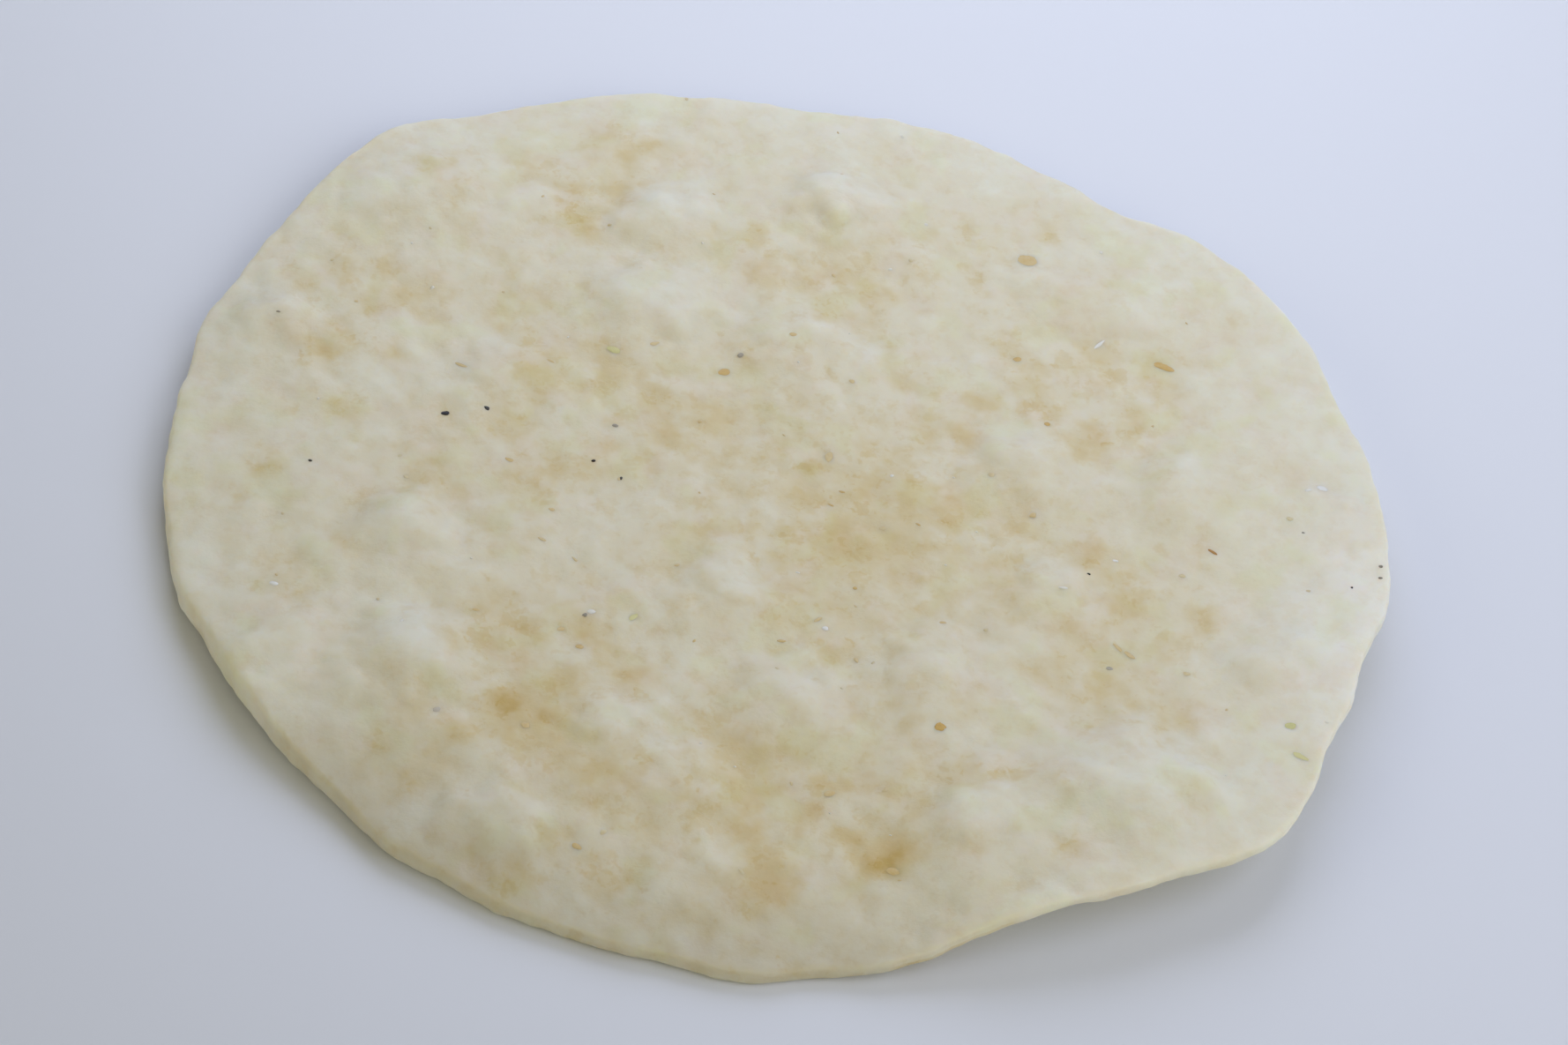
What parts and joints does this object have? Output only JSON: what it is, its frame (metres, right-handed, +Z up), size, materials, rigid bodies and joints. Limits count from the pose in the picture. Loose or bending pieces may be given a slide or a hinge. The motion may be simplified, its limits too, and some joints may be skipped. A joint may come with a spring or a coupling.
{
  "type": "shrimp rice cracker",
  "caption": "Thin, nearly round baked rice cracker with low blisters, a slightly curled rim and shrimp flecks in the dough, to lie on a plate or table.",
  "frame": {"origin": "on the table under the middle of the cracker, half way along its length and its width", "axes": "+Z up through the cracker, its thinnest way; +X along its longest way, to the right in the picture; +Y away from the viewer"},
  "size_m": [0.086, 0.0824, 0.0056],
  "materials": {
    "baked_dough": "matt baked rice dough, cream white with pale tan toasted patches"
  },
  "bodies": {
    "root": {"cracker": "baked_dough"}
  },
  "joints": []
}
